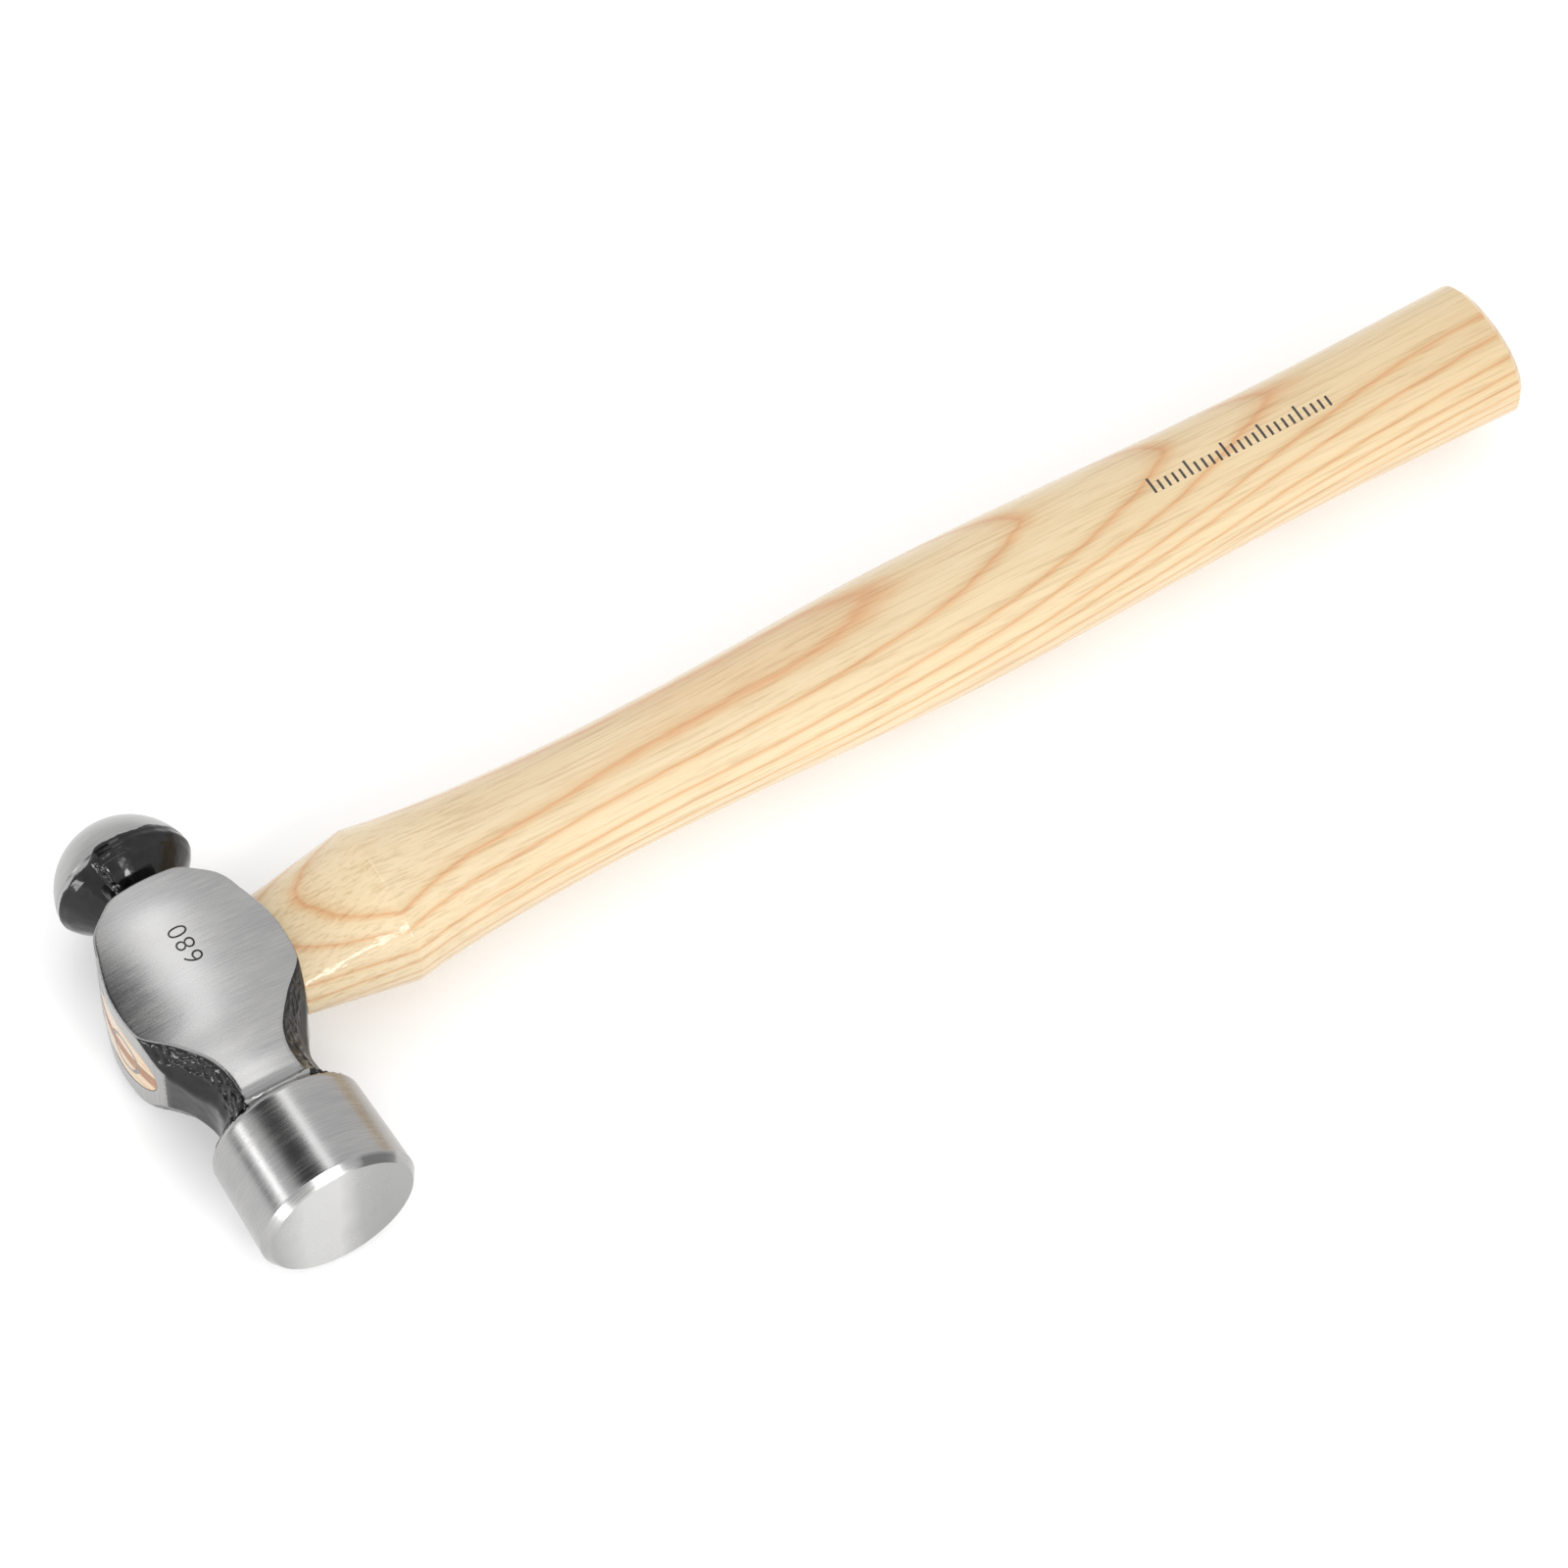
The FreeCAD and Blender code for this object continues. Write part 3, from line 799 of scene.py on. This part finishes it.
class Graph:
    """A short way to write a material's nodes."""

    def __init__(self, name):
        self.material = bpy.data.materials.new(name)
        self.material.use_nodes = True
        self.nodes = self.material.node_tree.nodes
        self.links = self.material.node_tree.links
        self.nodes.clear()
        output = self.nodes.new("ShaderNodeOutputMaterial")
        self.shader = self.nodes.new("ShaderNodeBsdfPrincipled")
        self.links.new(self.shader.outputs[0], output.inputs["Surface"])
        self.place = self.nodes.new("ShaderNodeTexCoord").outputs["Object"]

    def plug(self, socket, value):
        """Feeds a socket from another node, or sets it to a plain value."""
        if isinstance(value, bpy.types.NodeSocket):
            self.links.new(value, socket)
        else:
            socket.default_value = value

    def surface(self, **values):
        """Sets the shader's inputs, whose names have underscores for spaces here."""
        for name, value in values.items():
            self.plug(self.shader.inputs[name.replace("_", " ")], value)

    def math(self, operation, a, b=0.0, c=0.0, clamp=False):
        node = self.nodes.new("ShaderNodeMath")
        node.operation = operation
        node.use_clamp = clamp
        for socket, value in zip(node.inputs, (a, b, c)):
            self.plug(socket, value)
        return node.outputs[0]

    def stretched(self, scale):
        """The place on the object, times a scale along each axis."""
        node = self.nodes.new("ShaderNodeVectorMath")
        node.operation = "MULTIPLY"
        self.plug(node.inputs[0], self.place)
        node.inputs[1].default_value = scale
        return node.outputs[0]

    def noise(self, scale, detail=2.0, roughness=0.5):
        """Noise with about this many waves in a metre along each axis."""
        node = self.nodes.new("ShaderNodeTexNoise")
        self.plug(node.inputs["Vector"], self.stretched(scale))
        node.inputs["Scale"].default_value = 1.0
        node.inputs["Detail"].default_value = detail
        node.inputs["Roughness"].default_value = roughness
        return node.outputs["Fac"]

    def span(self, value, low, high, to_low=0.0, to_high=1.0):
        """value, carried from the range low..high to the range to_low..to_high."""
        node = self.nodes.new("ShaderNodeMapRange")
        for socket, given in zip(node.inputs, (value, low, high, to_low, to_high)):
            self.plug(socket, given)
        return node.outputs[0]

    def mix(self, share, first, second, how="MIX"):
        node = self.nodes.new("ShaderNodeMix")
        node.data_type = "RGBA"
        node.blend_type = how
        self.plug(node.inputs["Factor"], share)
        self.plug(node.inputs["A"], first)
        self.plug(node.inputs["B"], second)
        return next(out for out in node.outputs if out.type == "RGBA")

    def multiply(self, share, first, second):
        return self.mix(share, first, second, "MULTIPLY")

    def attribute(self, name):
        node = self.nodes.new("ShaderNodeAttribute")
        node.attribute_name = name
        return node.outputs["Fac"]

    def axis(self, which):
        node = self.nodes.new("ShaderNodeSeparateXYZ")
        self.plug(node.inputs[0], self.place)
        return node.outputs[which]

    def bump(self, height, distance, strength):
        node = self.nodes.new("ShaderNodeBump")
        node.inputs["Distance"].default_value = distance
        node.inputs["Strength"].default_value = strength
        self.plug(node.inputs["Height"], height)
        return node.outputs[0]

    def curve(self, value, points):
        node = self.nodes.new("ShaderNodeFloatCurve")
        line = node.mapping.curves[0]
        while len(line.points) < len(points):
            line.points.new(0.5, 0.5)
        for handle, (place, height) in zip(line.points, points):
            handle.location = (place, height)
        node.mapping.update()
        self.plug(node.inputs["Value"], value)
        return node.outputs[0]

    def ramp(self, value, stops):
        node = self.nodes.new("ShaderNodeValToRGB")
        elements = node.color_ramp.elements
        while len(elements) < len(stops):
            elements.new(0.5)
        for element, (place, colour) in zip(elements, stops):
            element.position = place
            element.color = (*colour, 1)
        self.plug(node.inputs[0], value)
        return node.outputs[0]


def steel_material():
    """Ground steel with fine grinding lines, and black lacquer where it was left as forged."""
    g = Graph("forged_steel")
    ragged = g.math("MULTIPLY_ADD", g.noise((900, 900, 900), detail=3), 0.24, -0.12)
    ground = g.span(g.math("ADD", g.attribute("ground"), ragged), -0.06, 0.10)
    clean = g.math("MULTIPLY", ground, g.math("SUBTRACT", 1.0, g.attribute("tarnish"), clamp=True))
    lacquered = g.math("SUBTRACT", 1.0, clean)
    lines = g.noise((130, 2600, 130), detail=3, roughness=0.6)
    cloud = g.noise((45, 160, 45), detail=3)
    mottle = g.noise((420, 420, 420), detail=4, roughness=0.6)
    steel = g.ramp(g.math("MULTIPLY_ADD", lines, 0.6, g.math("MULTIPLY", cloud, 0.4)), [
        (0.32, (0.31, 0.31, 0.315)), (0.50, (0.365, 0.362, 0.36)), (0.68, (0.415, 0.41, 0.405)),
    ])
    # Painted reflection: the flat face's colour is raised in a band down its middle and kept darker
    # either side
    on_face = g.span(g.axis(1), (FACE_Y + 0.8) * MM, (FACE_Y + 0.1) * MM)
    across = g.math("MULTIPLY_ADD", cloud, 0.008, g.axis(0))
    face = g.ramp(g.span(across, -0.015, 0.015), [
        (0.10, (0.36, 0.36, 0.355)), (0.34, (0.56, 0.56, 0.55)), (0.62, (0.59, 0.585, 0.58)),
        (0.80, (0.38, 0.38, 0.375)), (1.0, (0.34, 0.34, 0.335)),
    ])
    steel = g.mix(on_face, steel, face)
    lacquer = g.ramp(mottle, [(0.35, (0.003, 0.003, 0.0035)), (0.65, (0.010, 0.0095, 0.0095))])
    steel_rough = g.span(g.math("ADD", lines, cloud), 0.7, 1.3, 0.22, 0.30)
    lacquer_rough = g.span(mottle, 0.3, 0.7, 0.06, 0.15)
    relief = g.math("ADD", g.math("MULTIPLY", lines, clean), g.math("MULTIPLY", mottle, lacquered))
    g.surface(
        Base_Color=g.mix(clean, lacquer, steel),
        Metallic=clean,
        Roughness=g.math("ADD", g.math("MULTIPLY", steel_rough, clean),
                         g.math("MULTIPLY", lacquer_rough, lacquered)),
        Specular_IOR_Level=0.34,
        Normal=g.bump(relief, 0.000014, 0.35),
    )
    return g.material


def ring_depth(g):
    """Depth in metres towards the pith, along rings that bend, sway and ripple a little."""
    x = g.axis(0)
    y = g.math("MULTIPLY_ADD", x, -PITH_SLOPE_Y, g.math("ADD", g.axis(1), -PITH_Y))
    z = g.math("MULTIPLY_ADD", x, -PITH_SLOPE_Z, g.math("ADD", g.axis(2), -PITH_Z))
    radius = g.math("SQRT", g.math("ADD", g.math("MULTIPLY", y, y), g.math("MULTIPLY", z, z)))
    bend = g.curve(g.span(x, 0.0, BEND_LENGTH), BEND)
    shift = g.math("MULTIPLY_ADD", bend, BEND_HEIGHT, BEND_OFFSET)
    sway = g.math("MULTIPLY_ADD", g.noise((14, 60, 60), detail=2), 0.0016, -0.0008)
    ripple = g.math("MULTIPLY_ADD", g.noise((90, 380, 380), detail=2), 0.0004, -0.0002)
    depth = g.math("SUBTRACT", TOP_RADIUS, g.math("ADD", radius, shift))
    return g.math("ADD", depth, g.math("ADD", sway, ripple))


def handle_material():
    """Pale hickory: growth rings round a far pith, long pores, and a clear varnish."""
    g = Graph("handle_hickory")
    rings = g.curve(g.span(ring_depth(g), *RINGED_DEPTH), RING_PLACES)
    year = g.math("FRACT", g.math("MULTIPLY", rings, RING_COUNT))
    fibre = g.noise((36, 1500, 1500), detail=4, roughness=0.65)
    pores = g.noise((75, 4200, 4200), detail=2, roughness=0.5)
    cloud = g.noise((16, 75, 75), detail=3)
    wood = g.ramp(year, [
        (0.0, (0.61, 0.34, 0.165)), (0.05, (0.64, 0.42, 0.225)), (0.18, (0.68, 0.535, 0.335)),
        (0.45, (0.70, 0.57, 0.37)), (0.80, (0.69, 0.55, 0.35)), (0.95, (0.64, 0.46, 0.265)),
        (1.0, (0.61, 0.34, 0.165)),
    ])
    streaks = g.ramp(fibre, [(0.34, (0.80, 0.74, 0.66)), (0.50, (0.98, 0.97, 0.95)), (0.66, (1, 1, 1))])
    specks = g.ramp(pores, [(0.28, (0.80, 0.73, 0.64)), (0.40, (1, 1, 1))])
    tint = g.ramp(cloud, [(0.3, (0.95, 0.93, 0.90)), (0.55, (1, 1, 1)), (0.75, (1.0, 0.97, 0.93))])
    colour = g.multiply(0.9, wood, streaks)
    colour = g.multiply(0.40, colour, specks)
    colour = g.multiply(1.0, colour, tint)
    along = g.axis(0)
    towards_butt = g.span(along, 0.10, 0.34)
    on_end_grain = g.span(along, -0.010, -0.014)
    colour = g.multiply(towards_butt, colour, (0.97, 0.93, 0.86, 1))
    colour = g.multiply(on_end_grain, colour, (0.80, 0.74, 0.66, 1))
    relief = g.math("ADD", fibre, g.math("MULTIPLY", pores, 0.5))
    lumps = g.noise((80, 170, 170), detail=3, roughness=0.6)
    g.surface(
        Base_Color=colour,
        Roughness=g.span(fibre, 0.3, 0.7, 0.36, 0.50),
        Normal=g.bump(relief, 0.00004, 0.5),
        Coat_Weight=0.9,
        Coat_Roughness=0.06,
        Coat_Normal=g.bump(lumps, 0.0005, 0.5),
        Specular_IOR_Level=0.3,
    )
    return g.material


def wedge_material():
    """Red-brown hardwood, sanded flush, seen on its end grain."""
    g = Graph("wedge_hardwood")
    grain = g.noise((700, 500, 2600), detail=4, roughness=0.6)
    colour = g.ramp(grain, [
        (0.30, (0.17, 0.075, 0.035)), (0.5, (0.30, 0.145, 0.075)), (0.72, (0.42, 0.23, 0.125)),
    ])
    g.surface(
        Base_Color=colour,
        Roughness=g.span(grain, 0.3, 0.7, 0.45, 0.65),
        Normal=g.bump(grain, 0.00005, 0.6),
        Coat_Weight=0.2,
        Coat_Roughness=0.2,
    )
    return g.material


def ring_material():
    """Bare mild steel, ground flush with the wood around it."""
    g = Graph("ring_steel")
    scratches = g.noise((900, 4500, 700), detail=4, roughness=0.6)
    stain = g.noise((600, 600, 600), detail=3)
    colour = g.ramp(g.math("MULTIPLY", g.math("ADD", scratches, stain), 0.5), [
        (0.35, (0.16, 0.13, 0.12)), (0.52, (0.30, 0.28, 0.27)), (0.7, (0.46, 0.45, 0.44)),
    ])
    g.surface(
        Base_Color=colour,
        Metallic=0.9,
        Roughness=g.span(stain, 0.3, 0.7, 0.30, 0.50),
        Normal=g.bump(scratches, 0.00003, 0.5),
    )
    return g.material


def ink_material():
    """Black printing ink, worn thin in places."""
    g = Graph("printed_ink")
    wear = g.noise((2500, 2500, 2500), detail=3)
    colour = g.ramp(wear, [(0.35, (0.012, 0.011, 0.010)), (0.7, (0.05, 0.04, 0.03))])
    g.surface(Base_Color=colour, Roughness=g.span(wear, 0.3, 0.7, 0.35, 0.5), Coat_Weight=0.4)
    return g.material


# Studio ---------------------------------------------------------------------------------------

def make_floor():
    low = min(HEAD_LOW.z, HANDLE_LOW.z)
    ticks = np.linspace(-FLOOR_HALF_SIZE, FLOOR_HALF_SIZE, FLOOR_CELLS + 1) / MM
    points = [(x, y, low) for y in ticks for x in ticks]
    floor = mesh_object("studio_floor", points, grid_faces(FLOOR_CELLS))
    g = Graph("studio_floor")
    g.surface(
        Base_Color=(0.80, 0.80, 0.80, 1),
        Roughness=0.9,
        Specular_IOR_Level=0.1,
        Emission_Color=(1, 1, 1, 1),
        Emission_Strength=0.22,
    )
    floor.data.materials.append(g.material)


def grid_faces(cells):
    """Faces of a square sheet whose points run row by row."""
    faces = []
    for row in range(cells):
        for column in range(cells):
            corner = row * (cells + 1) + column
            faces.append((corner, corner + 1, corner + cells + 2, corner + cells + 1))
    return faces


def aim_at_origin(thing, azimuth, elevation, distance):
    """Puts a light or a card in this direction, facing the origin."""
    a, e = math.radians(azimuth), math.radians(elevation)
    towards = Vector((math.cos(e) * math.cos(a), math.cos(e) * math.sin(a), math.sin(e)))
    thing.location = towards * distance
    thing.rotation_euler = towards.to_track_quat("Z", "Y").to_euler()


def make_softbox(name, azimuth, elevation, distance, width, height, brightness):
    """A rectangular light whose face has the given brightness."""
    lamp = bpy.data.lights.new(name, "AREA")
    lamp.shape = "RECTANGLE"
    lamp.size = width
    lamp.size_y = height
    lamp.energy = brightness * math.pi * width * height
    box = bpy.data.objects.new(name, lamp)
    aim_at_origin(box, azimuth, elevation, distance)
    box.visible_camera = False
    bpy.context.scene.collection.objects.link(box)


def make_flag(name, azimuth, elevation, distance, width, height):
    """A black card that shows only as a dark band in the polished steel."""
    across = np.linspace(-0.5, 0.5, 3)
    points = [(x * width / MM, y * height / MM, 0) for y in across for x in across]
    card = mesh_object(name, points, grid_faces(2))
    aim_at_origin(card, azimuth, elevation, distance)
    g = Graph(name)
    g.surface(Base_Color=(0.01, 0.01, 0.01, 1), Roughness=1.0, Specular_IOR_Level=0.0)
    card.data.materials.append(g.material)
    card.visible_camera = False
    card.visible_diffuse = False
    card.visible_shadow = False


def make_lights():
    world = bpy.data.worlds.new("studio")
    world.use_nodes = True
    background = world.node_tree.nodes["Background"]
    background.inputs["Color"].default_value = (1, 1, 1, 1)
    background.inputs["Strength"].default_value = 1.0
    bpy.context.scene.world = world
    for softbox in SOFTBOXES:
        make_softbox(*softbox)
    for flag in FLAGS:
        make_flag(*flag)


def make_camera():
    data = bpy.data.cameras.new("camera")
    data.sensor_width = SENSOR_WIDTH
    data.lens = FOCAL_LENGTH
    camera = bpy.data.objects.new("camera", data)
    camera.location = CAMERA_PLACE
    camera.rotation_euler = [math.radians(turn) for turn in CAMERA_TURN]
    bpy.context.scene.collection.objects.link(camera)
    bpy.context.scene.camera = camera


def main():
    bpy.context.scene.view_settings.view_transform = "Standard"
    make_camera()
    make_floor()
    make_lights()
    make_head()
    handle = make_handle_and_wedges()
    make_print(handle)


main()
